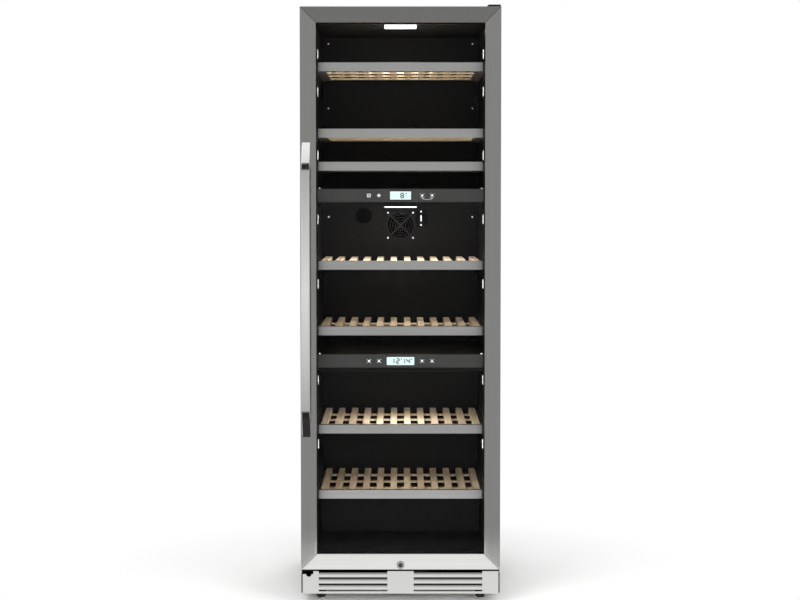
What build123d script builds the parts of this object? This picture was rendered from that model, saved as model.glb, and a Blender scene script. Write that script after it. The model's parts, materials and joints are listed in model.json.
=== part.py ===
from build123d import *
import math
import os

# Overall sizes of the cabinet and the door, in millimetres
cabinet_width = 595.0
cabinet_top = 1776.0
body_depth = 575.0
gasket_depth = 10.0
door_thickness = 45.0
handle_reach = 50.0
base_height = 30.0
door_bottom = 100.0
door_top_gap = 2.0

# Walls and sheets
casing_sheet = 1.0
panel_recess = 3.0
chassis_sheet = 1.5
liner_sheet = 2.5
side_wall = 42.5
top_wall = 43.0
rear_wall = 46.5
liner_floor = 133.0
floor_insulation = 40.0
hump_depth = 160.0
hump_height = 142.0
hump_insulation = 35.0

# Rear duct, fan and the pieces on the duct panel
duct_depth = 31.5
duct_sheet = 2.0
duct_rim = 4.0
evaporator_thickness = 3.0
evaporator_margin = 30.0
duct_slot_length = 34.0
duct_slot_height = 5.0
duct_slot_count = 7
fan_size = 92.0
fan_depth = 20.0
fan_gap = 19.3
fan_wall = 3.0
fan_hub_radius = 18.0
fan_blade_gap = 1.5
fan_blade_count = 7
fan_blade_thickness = 1.6
fan_shaft_radius = 2.0
fan_hole_spacing = 82.5
running_clearance = 0.05
part_clearance = 0.3
guard_wire = 1.8
guard_ring_count = 5
filter_radius = 26.0
filter_depth = 10.0
filter_x = -120.0
filter_gap = 8.3
sensor_width = 36.0
sensor_height = 55.0
sensor_depth = 8.0
sensor_x = 67.5
sensor_gap = 14.8

# Zone dividers, control fascias and lamps
divider_thickness = 50.0
fascia_height = 40.0
fascia_thickness = 6.0
fascia_setback = 7.0
fascia_end_gap = 0.5
fascia_lip = 1.5
upper_fascia_level = 8.979
lower_fascia_level = 3.989
display_recess = 1.5
upper_display_width = 63.0
lower_display_width = 83.0
display_height = 24.5
board_width = 200.0
board_height = 28.0
board_thickness = 1.6
board_room = 6.0
lamp_width = 105.0
lamp_length = 118.0
lamp_housing = 1.5
lamp_lens = 3.5
lamp_margin = 4.0
lamp_setback = 35.0

# Shelves, their rails and the side-wall ledges
shelf_rise = 188.8
top_shelf_room = 114.7
shelf_levels = [13, 11, 10, 7, 5, 2, 0]
shelf_setback = 50.0
shelf_side_gap = 6.0
shelf_rear_gap = 17.0
strip_height = 27.0
strip_depth = 14.0
strip_sheet = 1.5
slat_count = 12
slat_width = 20.0
slat_thickness = 18.0
slat_drop = 1.5
slat_margin = 5.0
bar_count = 4
bar_width = 25.0
bar_thickness = 4.5
bar_inset = 6.0
bar_overhang = 10.0
runner_sheet = 1.6
runner_flange = 22.0
runner_web = 18.0
rail_sheet = 1.2
rail_lip = 13.0
ledge_levels = [1.45, 3.4, 6.31, 8.26, 10.19, 12.1, 13.22]
ledge_height = 12.0
ledge_depth = 3.0
ledge_setback = 30.0
cap_height = 28.0
cap_width = 8.0
cap_depth = 10.0

# Plinth: kick grille, cheeks and feet
kick_setback = 2.0
kick_bottom = 27.0
kick_top = 95.0
kick_sheet = 1.5
kick_return = 15.0
cheek_width = 3.5
slot_group_width = 205.0
slot_group_margin = 48.5
slot_count = 4
slot_height = 4.6
slot_pitch = 18.8
louvre_ridge = 2.0
notch_width = 32.0
notch_height = 9.0
notch_round = 8.0
notch_round_inset = 18.5
foot_side_inset = 56.5
foot_inset = 24.0
foot_top_radius = 15.0
foot_bottom_radius = 11.0
foot_height = 20.0
stud_radius = 5.0
stud_top = 54.0
boss_radius = 11.0
boss_height = 26.0

# Door frame, glazing, hinge and lock
rail_width = 47.5
door_skin = 2.0
mitre_gap = 0.4
glass_overlap = 10.0
pane_thickness = 4.0
pane_gap = 14.0
pane_clearance = 1.5
spacer_width = 8.0
spacer_inset = 1.0
backing_lip = 2.0
gasket_width = 13.0
gasket_overhang = 1.0
hinge_inset = 14.0
hinge_back = 28.0
hinge_pin_radius = 4.0
hinge_pin_length = 21.0
hinge_plate = 5.0
hinge_plate_width = 41.0
hinge_plate_reach = 50.0
hinge_nose = 14.0
bush_radius = 7.0
bush_length = 22.0
bush_flange = 3.0
bush_flange_radius = 11.0
bracket_sheet = 4.0
bracket_flange = 3.0
bracket_flange_height = 20.0
lock_rise = 13.5
lock_face_radius = 12.0
lock_body_radius = 9.0
lock_proud = 3.0
plug_radius = 6.0
plug_proud = 0.8
key_slot_width = 1.6
key_slot_height = 8.0
cam_thickness = 3.0
cam_width = 11.0
cam_length = 24.0
cam_gap = 0.5
strike_width = 32.0
strike_sheet = 2.0
strike_pocket = 13.0
strike_drop = 20.0

# Handle
handle_width = 25.0
handle_inset = 5.5
handle_bottom = 498.0
handle_top = 1374.0
handle_slope = 75.0
handle_bar_thickness = 10.0
handle_bend_radius = 50.0
handle_edge_radius = 1.5
handle_stud_radius = 3.0
handle_stud_length = 16.0
handle_stud_rise = 9.0

# Machine compartment
compressor_side_gap = 75.0
compressor_radius = 65.0
compressor_height = 130.0
compressor_dome = 28.0
compressor_plate_length = 165.0
compressor_plate_width = 120.0
compressor_plate = 3.0
mount_radius = 12.0
mount_height = 14.0
mount_edge = 16.0
condenser_side_gap = 77.5
condenser_length = 140.0
condenser_depth = 126.0
condenser_height = 165.0
fin_count = 15
fin_thickness = 1.0
tube_radius = 4.0
tube_columns = 3
tube_rows = 5
cooling_fan_gap = 40.0
cooling_fan_size = 120.0
cooling_fan_depth = 25.0
cooling_fan_lift = 10.0
tray_length = 128.0
tray_width = 106.0
tray_height = 22.0
tray_wall = 2.0
inlet_side_inset = 35.5
inlet_height = 92.0
inlet_width = 28.0
inlet_tall = 48.0
inlet_depth = 22.0
inlet_flange = 3.0
inlet_pin = 4.0
rear_slot_rows = 9
rear_slot_length = 130.0
rear_slot_height = 5.0
rear_slot_pitch = 18.0
screw_head_radius = 4.0
screw_head_height = 2.5
screw_inset = 19.0

# Planes and edges that follow from the sizes above
half_width = cabinet_width / 2
total_depth = handle_reach + door_thickness + gasket_depth + body_depth
handle_front = -total_depth / 2
door_front = handle_front + handle_reach
door_rear = door_front + door_thickness
cabinet_front = door_rear + gasket_depth
cabinet_back = cabinet_front + body_depth
panel_back = cabinet_back - panel_recess
door_top = cabinet_top - door_top_gap
casing_inner = half_width - casing_sheet
liner_half = half_width - side_wall
liner_outer = liner_half + liner_sheet
ceiling = cabinet_top - top_wall
liner_back = cabinet_back - rear_wall
hump_front = liner_back - hump_depth
hump_top = liner_floor + hump_height
duct_front = liner_back - duct_depth
pan_top = base_height + chassis_sheet
deck_top = liner_floor - liner_sheet - floor_insulation
deck_bottom = deck_top - chassis_sheet
riser_front = hump_front + liner_sheet + hump_insulation
roof_top = hump_top - liner_sheet - hump_insulation
roof_bottom = roof_top - chassis_sheet
machine_front = riser_front + chassis_sheet
machine_back = panel_back - casing_sheet
machine_y = (machine_front + machine_back) / 2
fascia_front = cabinet_front + fascia_setback
fascia_back = fascia_front + fascia_thickness
kick_front = door_front + kick_setback
kick_half = casing_inner - cheek_width
opening_half = half_width - rail_width
opening_bottom = door_bottom + rail_width
opening_top = door_top - rail_width
glazing_front = door_front + door_skin
glazing_back = glazing_front + 2 * pane_thickness + pane_gap
hinge_x = half_width - hinge_inset
hinge_y = door_front + hinge_back
lower_plate_top = door_bottom - bush_flange
lock_height = door_bottom + lock_rise
fixed_rail_half = liner_half - rail_sheet
strip_half = liner_half - shelf_side_gap
strip_front = cabinet_front + shelf_setback
shelf_rear = duct_front - shelf_rear_gap
shelf_base = liner_floor + shelf_rise
shelf_pitch = (ceiling - top_shelf_room - shelf_base) / max(shelf_levels)
ledge_heights = [shelf_base + shelf_pitch * level for level in ledge_levels]
upper_fascia_centre = shelf_base + shelf_pitch * upper_fascia_level
lower_fascia_centre = shelf_base + shelf_pitch * lower_fascia_level
upper_divider_bottom = upper_fascia_centre + fascia_height / 2 - fascia_lip - divider_thickness
fan_centre_height = upper_divider_bottom - fan_gap - fan_size / 2
filter_height = upper_divider_bottom - filter_gap - filter_radius
sensor_centre_height = upper_divider_bottom - sensor_gap - sensor_height / 2
slot_group_offset = kick_half - slot_group_margin - slot_group_width / 2
foot_x = half_width - foot_side_inset
compressor_x = half_width - compressor_side_gap - compressor_plate_length / 2
condenser_x = -half_width + condenser_side_gap + condenser_length / 2
cooling_fan_x = condenser_x + condenser_length / 2 + cooling_fan_gap
inlet_x = half_width - inlet_side_inset


def block(x0, x1, y0, y1, z0, z1):
    centre = Pos((x0 + x1) / 2, (y0 + y1) / 2, (z0 + z1) / 2)
    return centre * Box(x1 - x0, y1 - y0, z1 - z0)


def rod_y(x, y0, y1, z, radius):
    return Pos(x, (y0 + y1) / 2, z) * Rot(90, 0, 0) * Cylinder(radius, y1 - y0)


def rod_z(x, y, z0, z1, radius):
    return Pos(x, y, (z0 + z1) / 2) * Cylinder(radius, z1 - z0)


def side_profile(points, x0, x1):
    # A closed outline of (y, z) points, pulled along X from x0 to x1
    outline = Plane.YZ * make_face(Polyline([*points, points[0]]))
    return Pos(x0, 0, 0) * extrude(outline, amount=x1 - x0, dir=(1, 0, 0))


def ring(half, bottom, top, inner_half, inner_bottom, inner_top, y0, y1):
    outer = block(-half, half, y0, y1, bottom, top)
    return outer - block(-inner_half, inner_half, y0, y1, inner_bottom, inner_top)


def spread(first, last, count):
    return [first + (last - first) * index / (count - 1) for index in range(count)]


# Cabinet shell


def outer_cabinet():
    shell = block(-half_width, half_width, cabinet_front, cabinet_back, base_height, cabinet_top)
    shell -= block(-casing_inner, casing_inner, cabinet_front + casing_sheet, cabinet_back,
                   base_height, cabinet_top - casing_sheet)
    shell -= block(-liner_outer, liner_outer, cabinet_front, cabinet_front + casing_sheet,
                   base_height, ceiling + liner_sheet)
    shell -= block(-casing_inner, casing_inner, cabinet_front, cabinet_front + casing_sheet,
                   base_height, deck_bottom)
    return shell


def back_panel():
    return block(-casing_inner, casing_inner, machine_back, panel_back,
                 roof_top, cabinet_top - casing_sheet)


def rear_grille():
    sheet = block(-casing_inner, casing_inner, machine_back, panel_back, pan_top, roof_bottom)
    middle = (pan_top + roof_bottom) / 2
    for row in range(rear_slot_rows):
        height = middle + (row - (rear_slot_rows - 1) / 2) * rear_slot_pitch
        for centre in (condenser_x, compressor_x - rear_slot_length / 2):
            sheet -= block(centre - rear_slot_length / 2, centre + rear_slot_length / 2,
                           machine_back, panel_back,
                           height - rear_slot_height / 2, height + rear_slot_height / 2)
    sheet -= block(inlet_x - inlet_width / 2, inlet_x + inlet_width / 2,
                   machine_back, panel_back,
                   inlet_height - inlet_tall / 2, inlet_height + inlet_tall / 2)
    return sheet


def base_chassis():
    pan_front = cabinet_front + casing_sheet
    frame = block(-casing_inner, casing_inner, pan_front, panel_back, base_height, pan_top)
    frame += block(-casing_inner, casing_inner, pan_front, machine_front, deck_bottom, deck_top)
    frame += block(-casing_inner, casing_inner, riser_front, machine_front, deck_bottom, roof_top)
    frame += block(-casing_inner, casing_inner, riser_front, panel_back, roof_bottom, roof_top)
    frame += block(-liner_outer, liner_outer, cabinet_front, pan_front,
                   deck_bottom, liner_floor - liner_sheet)
    for side in (-1, 1):
        inner, outer = sorted((side * (casing_inner - chassis_sheet), side * casing_inner))
        frame += block(inner, outer, pan_front, machine_back, base_height, deck_top)
        frame += block(inner, outer, riser_front, machine_back, base_height, roof_top)
        inner, outer = sorted((side * kick_half, side * casing_inner))
        frame += block(inner, outer, kick_front, pan_front + boss_height, base_height, deck_bottom)
    for x, y in foot_places():
        frame += rod_z(x, y, base_height, base_height + boss_height, boss_radius)
        frame -= rod_z(x, y, base_height, base_height + boss_height, stud_radius + running_clearance)
    return frame + lock_strike()


def lock_strike():
    # A small pocket below the door that the turned lock cam drops into
    floor = deck_bottom - strike_drop / 2
    lip = cabinet_front - strike_pocket
    half = strike_width / 2
    strike = block(-half, half, cabinet_front - strike_sheet, cabinet_front, floor, deck_top + strike_drop)
    strike += block(-half, half, lip - strike_sheet, cabinet_front, floor, floor + strike_sheet)
    strike += block(-half, half, lip - strike_sheet, lip, floor, lower_plate_top - strike_sheet)
    return strike


def liner_outside():
    body = block(-liner_outer, liner_outer, cabinet_front, liner_back + liner_sheet,
                 liner_floor - liner_sheet, ceiling + liner_sheet)
    return body - block(-liner_outer, liner_outer, hump_front + liner_sheet, liner_back + liner_sheet,
                        liner_floor - liner_sheet, hump_top - liner_sheet)


def inner_liner():
    room = block(-liner_half, liner_half, cabinet_front, liner_back, liner_floor, ceiling)
    room -= block(-liner_half, liner_half, hump_front, liner_back, liner_floor, hump_top)
    liner = liner_outside() - room
    for height in ledge_heights:
        for side in (-1, 1):
            inner, outer = sorted((side * (liner_half - ledge_depth), side * liner_half))
            liner += block(inner, outer, cabinet_front + ledge_setback, duct_front,
                           height - ledge_height / 2, height + ledge_height / 2)
    return liner


def insulation_foam():
    front = cabinet_front + casing_sheet
    back = machine_back
    top = cabinet_top - casing_sheet
    outline = [
        (front, deck_top),
        (riser_front, deck_top),
        (riser_front, roof_top),
        (back, roof_top),
        (back, top),
        (front, top),
    ]
    return side_profile(outline, -casing_inner, casing_inner) - liner_outside()


# Rear duct and cold-air pieces


def divider_span(centre):
    # Lowest and highest level of the divider behind a fascia
    top = centre + fascia_height / 2 - fascia_lip
    return top - divider_thickness, top


def zone_spans():
    lower = divider_span(lower_fascia_centre)
    upper = divider_span(upper_fascia_centre)
    return [(hump_top, lower[0]), (lower[1], upper[0]), (upper[1], ceiling)]


def rear_duct_panels():
    panels = []
    for bottom, top in zone_spans():
        panel = block(-liner_half, liner_half, duct_front, liner_back, bottom, top)
        panel -= block(-liner_half + duct_rim, liner_half - duct_rim, duct_front + duct_sheet, liner_back,
                       bottom + duct_rim, top - duct_rim)
        slot_rise = bottom + 2 * duct_rim + duct_slot_height
        for x in spread(-liner_half / 2, liner_half / 2, duct_slot_count):
            panel -= block(x - duct_slot_length / 2, x + duct_slot_length / 2,
                           duct_front, duct_front + duct_sheet,
                           slot_rise, slot_rise + duct_slot_height)
        if bottom < fan_centre_height < top:
            panel -= rod_y(0, duct_front, duct_front + duct_sheet, fan_centre_height,
                           fan_size / 2 - fan_wall)
        panels.append(panel)
    return panels


def evaporators():
    plates = []
    for bottom, top in zone_spans():
        plates.append(block(-liner_half + evaporator_margin, liner_half - evaporator_margin,
                            liner_back - evaporator_thickness, liner_back,
                            bottom + evaporator_margin, top - evaporator_margin))
    return plates


def blade(radius_in, radius_out, depth, angle):
    # One flat fan blade, tilted to the flow, standing on a hub whose axis is Z
    length = radius_out - radius_in
    plate = Box(length, depth, fan_blade_thickness)
    tilted = Rot(45, 0, 0) * plate
    return Rot(0, 0, angle) * Pos((radius_in + radius_out) / 2, 0, 0) * tilted


def rotor(size, depth):
    # Hub, blades and shaft about the Z axis, with the hub's far face at Z = 0
    tip = size / 2 - fan_wall - fan_blade_gap
    hub_depth = depth - 2 * fan_wall - fan_blade_gap
    wheel = Pos(0, 0, -hub_depth / 2) * Cylinder(fan_hub_radius, hub_depth)
    for index in range(fan_blade_count):
        tilted = blade(fan_hub_radius - fan_blade_gap, tip, hub_depth, 360 * index / fan_blade_count)
        wheel += Pos(0, 0, -hub_depth / 2) * tilted
    return wheel + Pos(0, 0, fan_blade_gap + fan_wall / 2) * Cylinder(
        fan_shaft_radius, 2 * fan_blade_gap + fan_wall)


def fan_housing(size, depth):
    # Square frame about the Z axis; the shaft bearing's front face is one blade gap above Z = 0
    back = fan_blade_gap + fan_wall
    frame = Pos(0, 0, back - depth / 2) * Box(size, size, depth)
    frame -= Pos(0, 0, back - depth / 2) * Cylinder(size / 2 - fan_wall, depth)
    bearing = Pos(0, 0, back - fan_wall / 2) * Cylinder(fan_hub_radius, fan_wall)
    for angle in (45, 135):
        arm = Box(size, 2 * fan_wall, fan_wall)
        bearing += Rot(0, 0, angle) * Pos(0, 0, back - fan_wall / 2) * arm
    bearing -= Pos(0, 0, back - fan_wall / 2) * Cylinder(fan_shaft_radius + running_clearance, fan_wall)
    return frame + bearing


def circulation_fan_place():
    back = fan_blade_gap + fan_wall
    return Pos(0, duct_front + duct_sheet + fan_depth - back, fan_centre_height) * Rot(-90, 0, 0)


def circulation_fan_frame():
    guard = None
    edge = fan_size / 2 - fan_wall
    for radius in spread(edge / guard_ring_count, edge, guard_ring_count):
        hoop = rod_y(0, duct_front - guard_wire, duct_front, fan_centre_height, radius + guard_wire / 2)
        hoop -= rod_y(0, duct_front - guard_wire, duct_front, fan_centre_height, radius - guard_wire / 2)
        guard = hoop if guard is None else guard + hoop
    reach = fan_hole_spacing / 2
    for angle in (45, 135):
        spoke = Pos(0, duct_front - guard_wire / 2, fan_centre_height) * Rot(0, angle, 0)
        guard += spoke * Box(2 * math.sqrt(2) * reach, guard_wire, 2 * guard_wire)
    return [guard, circulation_fan_place() * fan_housing(fan_size, fan_depth)]


def circulation_fan_rotor():
    return circulation_fan_place() * rotor(fan_size, fan_depth)


def charcoal_filter():
    cap = rod_y(filter_x, duct_front - filter_depth, duct_front, filter_height, filter_radius)
    cap = chamfer(cap.faces().sort_by(Axis.Y)[0].edges(), filter_depth / 4)
    grip = block(filter_x - filter_radius / 2, filter_x + filter_radius / 2,
                 duct_front - filter_depth - fan_wall, duct_front - filter_depth,
                 filter_height - fan_wall, filter_height + fan_wall)
    return cap + grip


def sensor_cover():
    low = sensor_centre_height - sensor_height / 2
    cover = block(sensor_x - sensor_width / 2, sensor_x + sensor_width / 2,
                  duct_front - sensor_depth, duct_front, low, low + sensor_height)
    cover = chamfer(cover.faces().sort_by(Axis.Y)[0].edges(), sensor_depth / 4)
    slot_half = sensor_width / 12
    return cover - block(sensor_x - slot_half, sensor_x + slot_half,
                         duct_front - sensor_depth, duct_front - sensor_depth / 2,
                         low + sensor_height / 4, low + sensor_height * 3 / 4)


def lamp_levels():
    return [divider_span(upper_fascia_centre)[0], ceiling]


def lamp_housings():
    front = cabinet_front + lamp_setback
    housings = []
    for level in lamp_levels():
        housings.append(block(-lamp_width / 2, lamp_width / 2, front, front + lamp_length,
                              level - lamp_housing, level))
    return housings


def lamp_lenses():
    front = cabinet_front + lamp_setback
    lenses = []
    for level in lamp_levels():
        lens = block(-lamp_width / 2 + lamp_margin, lamp_width / 2 - lamp_margin,
                     front + lamp_margin, front + lamp_length - lamp_margin,
                     level - lamp_housing - lamp_lens, level - lamp_housing)
        lenses.append(chamfer(lens.faces().sort_by(Axis.Z)[0].edges(), lamp_lens / 4))
    return lenses


# Zone dividers and controls


def zone_dividers():
    dividers = []
    for centre in (lower_fascia_centre, upper_fascia_centre):
        bottom, top = divider_span(centre)
        slab = block(-liner_half, liner_half, fascia_back, liner_back, bottom, top)
        pocket_half = board_width / 2 + board_room
        slab -= block(-pocket_half, pocket_half, fascia_back, fascia_back + board_thickness + board_room,
                      centre - board_height / 2 - part_clearance, centre + board_height / 2 + part_clearance)
        dividers.append(slab)
    return dividers


def fascia_displays():
    return [(lower_fascia_centre, lower_display_width), (upper_fascia_centre, upper_display_width)]


def display_block(centre, width):
    return block(-width / 2, width / 2, fascia_front, fascia_front + display_recess,
                 centre - display_height / 2, centre + display_height / 2)


def control_fascias():
    fascias = []
    for centre, width in fascia_displays():
        half = liner_half - fascia_end_gap
        bar = block(-half, half, fascia_front, fascia_back,
                    centre - fascia_height / 2, centre + fascia_height / 2)
        front_edges = bar.faces().sort_by(Axis.Y)[0].edges().filter_by(Axis.X)
        bar = chamfer(front_edges, fascia_lip)
        fascias.append(bar - display_block(centre, width))
    return fascias


def displays():
    return [display_block(centre, width) for centre, width in fascia_displays()]


def control_boards():
    boards = []
    for centre, _ in fascia_displays():
        boards.append(block(-board_width / 2, board_width / 2, fascia_back, fascia_back + board_thickness,
                            centre - board_height / 2, centre + board_height / 2))
    return boards


# Shelves, rails and end caps


def shelf_top(level):
    return shelf_base + shelf_pitch * level


def runner_floor(top):
    return top - slat_drop - slat_thickness - bar_thickness - runner_sheet


def shelf_rails():
    rails = []
    rear = shelf_rear
    front = strip_front + strip_depth + part_clearance
    for level in shelf_levels:
        seat = runner_floor(shelf_top(level)) - part_clearance
        for side in (-1, 1):
            inner, outer = sorted((side * fixed_rail_half, side * liner_half))
            rail = block(inner, outer, front, rear, seat - rail_sheet, seat + runner_web)
            inner, outer = sorted((side * (liner_half - rail_lip), side * liner_half))
            rails.append(rail + block(inner, outer, front, rear, seat - rail_sheet, seat))
    return rails


def rail_end_caps():
    caps = []
    front = cabinet_front + ledge_setback - cap_depth
    for height in ledge_heights:
        for side in (-1, 1):
            inner, outer = sorted((side * (liner_half - cap_width), side * liner_half))
            cap = block(inner, outer, front, front + cap_depth,
                        height - cap_height / 2, height + cap_height / 2)
            nose = cap.faces().sort_by(Axis.Y)[0].edges().filter_by(Axis.X)
            caps.append(chamfer(nose, cap_width / 3))
    return caps


def shelf_frame(level):
    top = shelf_top(level)
    back = strip_front + strip_depth
    strip = block(-strip_half, strip_half, strip_front, back, top - strip_height, top)
    strip -= block(-strip_half, strip_half, strip_front + strip_sheet, back,
                   top - strip_height + strip_sheet, top - strip_sheet)
    floor = runner_floor(top)
    pieces = [strip]
    for side in (-1, 1):
        inner, outer = sorted((side * (strip_half - runner_sheet), side * strip_half))
        runner = block(inner, outer, strip_front + strip_sheet, shelf_rear, floor, floor + runner_web)
        inner, outer = sorted((side * (strip_half - runner_flange), side * strip_half))
        runner += block(inner, outer, strip_front + strip_sheet, shelf_rear, floor, floor + runner_sheet)
        pieces.append(runner)
    return pieces


def shelf_slats(level):
    slat_top = shelf_top(level) - slat_drop
    bar_top = slat_top - slat_thickness
    front = strip_front + strip_depth
    pieces = []
    half_field = strip_half - slat_margin - slat_width / 2
    for x in spread(-half_field, half_field, slat_count):
        pieces.append(block(x - slat_width / 2, x + slat_width / 2, front, shelf_rear,
                            bar_top, slat_top))
    half_bar = strip_half - runner_flange + bar_overhang
    end = bar_inset + bar_width / 2
    for y in spread(front + end, shelf_rear - end, bar_count):
        pieces.append(block(-half_bar, half_bar, y - bar_width / 2, y + bar_width / 2,
                            bar_top - bar_thickness, bar_top))
    return pieces


# Machine compartment


def compressor():
    plate_bottom = pan_top + mount_height
    plate_top = plate_bottom + compressor_plate
    plate = block(compressor_x - compressor_plate_length / 2, compressor_x + compressor_plate_length / 2,
                  machine_y - compressor_plate_width / 2, machine_y + compressor_plate_width / 2,
                  plate_bottom, plate_top)
    pot = rod_z(compressor_x, machine_y, plate_top, plate_top + compressor_height, compressor_radius)
    return plate + fillet(pot.faces().sort_by(Axis.Z)[-1].edges(), compressor_dome)


def compressor_mounts():
    mounts = []
    reach_x = compressor_plate_length / 2 - mount_edge
    reach_y = compressor_plate_width / 2 - mount_edge
    for dx in (-reach_x, reach_x):
        for dy in (-reach_y, reach_y):
            mounts.append(rod_z(compressor_x + dx, machine_y + dy, pan_top, pan_top + mount_height, mount_radius))
    return mounts


def condenser():
    left = condenser_x - condenser_length / 2
    right = condenser_x + condenser_length / 2
    front = machine_y - condenser_depth / 2
    back = machine_y + condenser_depth / 2
    top = pan_top + condenser_height
    coil = None
    for y in spread(front, back - fin_thickness, fin_count):
        fin = block(left, right, y, y + fin_thickness, pan_top, top)
        coil = fin if coil is None else coil + fin
    edge = condenser_length / 5
    for x in spread(left + edge, right - edge, tube_columns):
        for z in spread(pan_top + edge, top - edge, tube_rows):
            coil += rod_y(x, front - tube_radius, back + tube_radius, z, tube_radius)
    return coil


def cooling_fan_place():
    return Pos(cooling_fan_x, machine_y, pan_top + cooling_fan_lift + cooling_fan_size / 2) * Rot(0, 90, 0)


def condenser_fan_frame():
    frame = cooling_fan_place() * fan_housing(cooling_fan_size, cooling_fan_depth)
    back = cooling_fan_x + fan_blade_gap + fan_wall
    half = cooling_fan_size / 4
    return frame + block(back - cooling_fan_depth, back, machine_y - half, machine_y + half,
                         pan_top, pan_top + cooling_fan_lift)


def condenser_fan_rotor():
    return cooling_fan_place() * rotor(cooling_fan_size, cooling_fan_depth)


def drain_tray():
    floor = pan_top + mount_height + compressor_plate + compressor_height
    tray = block(compressor_x - tray_length / 2, compressor_x + tray_length / 2,
                 machine_y - tray_width / 2, machine_y + tray_width / 2, floor, floor + tray_height)
    return tray - block(compressor_x - tray_length / 2 + tray_wall, compressor_x + tray_length / 2 - tray_wall,
                        machine_y - tray_width / 2 + tray_wall, machine_y + tray_width / 2 - tray_wall,
                        floor + tray_wall, floor + tray_height)


def mains_inlet():
    half = inlet_width / 2
    tall = inlet_tall / 2
    body = block(inlet_x - half, inlet_x + half, panel_back - inlet_depth, panel_back,
                 inlet_height - tall, inlet_height + tall)
    body -= block(inlet_x - half + inlet_flange, inlet_x + half - inlet_flange,
                  panel_back - inlet_depth + inlet_flange, panel_back,
                  inlet_height - tall + inlet_flange, inlet_height + tall - inlet_flange)
    for z in spread(inlet_height - tall / 2, inlet_height + tall / 2, 3):
        body += block(inlet_x - inlet_pin, inlet_x + inlet_pin, panel_back - inlet_depth,
                      panel_back - 2 * inlet_pin, z - inlet_pin / 4, z + inlet_pin / 4)
    return body


def casing_screws():
    screws = []
    for x in spread(-casing_inner + screw_inset, casing_inner - screw_inset, 4):
        for z in (roof_top + screw_inset, cabinet_top - casing_sheet - screw_inset):
            screws.append(rod_y(x, panel_back, panel_back + screw_head_height, z, screw_head_radius))
    bottom, top = zone_spans()[2]
    middle_top = zone_spans()[1][1]
    for z in ((bottom + top) / 2 + screw_inset, top - screw_inset, middle_top - 2 * screw_inset):
        for x in (-liner_half + screw_inset, liner_half - screw_inset):
            screws.append(rod_y(x, duct_front - screw_head_height, duct_front, z, screw_head_radius))
    return screws


# Plinth and feet


def foot_places():
    front = cabinet_front + foot_inset
    back = cabinet_back - foot_inset
    return [(-foot_x, front), (foot_x, front), (-foot_x, back), (foot_x, back)]


def levelling_foot(x, y):
    pad = Pos(x, y, foot_height / 2) * Cone(foot_bottom_radius, foot_top_radius, foot_height)
    return pad + rod_z(x, y, foot_height, stud_top, stud_radius)


def kick_grille():
    back = kick_front + kick_sheet
    face = block(-kick_half, kick_half, kick_front, back, kick_bottom, kick_top)
    face += block(-kick_half, kick_half, kick_front, kick_front + kick_return,
                  kick_bottom, kick_bottom + kick_sheet)
    return_top = lower_plate_top - bracket_sheet - part_clearance
    for side in (-1, 1):
        inner, outer = sorted((side * (kick_half - kick_sheet), side * kick_half))
        face += block(inner, outer, kick_front, cabinet_front, base_height, return_top)
    for centre in (-slot_group_offset, slot_group_offset):
        left = centre - slot_group_width / 2
        right = centre + slot_group_width / 2
        for index in range(slot_count):
            top = kick_top - index * slot_pitch
            face -= block(left, right, kick_front, back, top - slot_height, top)
            bar_top = top - slot_height
            bar_bottom = bar_top - slot_pitch + slot_height
            crest = (bar_top + bar_bottom) / 2
            if index < slot_count - 1:
                fold = [(kick_front, bar_top), (kick_front - louvre_ridge, crest), (kick_front, bar_bottom)]
                face += side_profile(fold, left, right)
    notch_floor = kick_top - notch_height
    face -= block(-kick_half, -kick_half + notch_width, kick_front, cabinet_front, notch_floor, kick_top)
    return face - rod_y(-kick_half + notch_round_inset, kick_front, back, notch_floor, notch_round)


# Hinges


def hinge_outline(side, front, back):
    inner, outer = sorted((side * (half_width - hinge_plate_width), side * (half_width - casing_sheet)))
    return inner, outer, front, back


def top_hinge():
    inner, outer, front, back = hinge_outline(1, hinge_y - hinge_nose, cabinet_front + hinge_plate_reach)
    plate = block(inner, outer, front, back, cabinet_top, cabinet_top + hinge_plate)
    upper_left = plate.edges().filter_by(Axis.Y).group_by(Axis.Z)[-1].sort_by(Axis.X)[0]
    plate = chamfer(upper_left, hinge_plate - casing_sheet)
    return plate + rod_z(hinge_x, hinge_y, cabinet_top - hinge_pin_length, cabinet_top, hinge_pin_radius)


def bracket(side):
    # Flat lower hinge plate with a flange that is screwed to the cabinet's front
    inner, outer, front, back = hinge_outline(side, hinge_y - hinge_nose, cabinet_front)
    plate = block(inner, outer, front, back, lower_plate_top - bracket_sheet, lower_plate_top)
    return plate + block(inner, outer, back - bracket_flange, back,
                         lower_plate_top - bracket_sheet, lower_plate_top + bracket_flange_height)


def bottom_hinge():
    return bracket(1) + rod_z(hinge_x, hinge_y, lower_plate_top, lower_plate_top + hinge_pin_length,
                              hinge_pin_radius)


def spare_hinge_plate():
    return bracket(-1) - rod_z(-hinge_x, hinge_y, lower_plate_top - bracket_sheet, lower_plate_top,
                               hinge_pin_radius + running_clearance)


def hinge_bushes():
    bore = hinge_pin_radius + running_clearance
    upper = rod_z(hinge_x, hinge_y, door_top - bush_length, door_top, bush_radius)
    upper -= rod_z(hinge_x, hinge_y, door_top - bush_length, door_top, bore)
    lower = rod_z(hinge_x, hinge_y, door_bottom, door_bottom + bush_length, bush_radius)
    lower += rod_z(hinge_x, hinge_y, lower_plate_top, door_bottom, bush_flange_radius)
    lower -= rod_z(hinge_x, hinge_y, lower_plate_top, door_bottom + bush_length, bore)
    return [upper, lower]


# Door


def bush_bores():
    bore = bush_radius + running_clearance
    upper = rod_z(hinge_x, hinge_y, door_top - bush_length, door_top, bore)
    return upper + rod_z(hinge_x, hinge_y, door_bottom, door_bottom + bush_length, bore)


def lock_bore():
    return rod_y(0, door_front, door_rear, lock_height, lock_body_radius + running_clearance)


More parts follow.
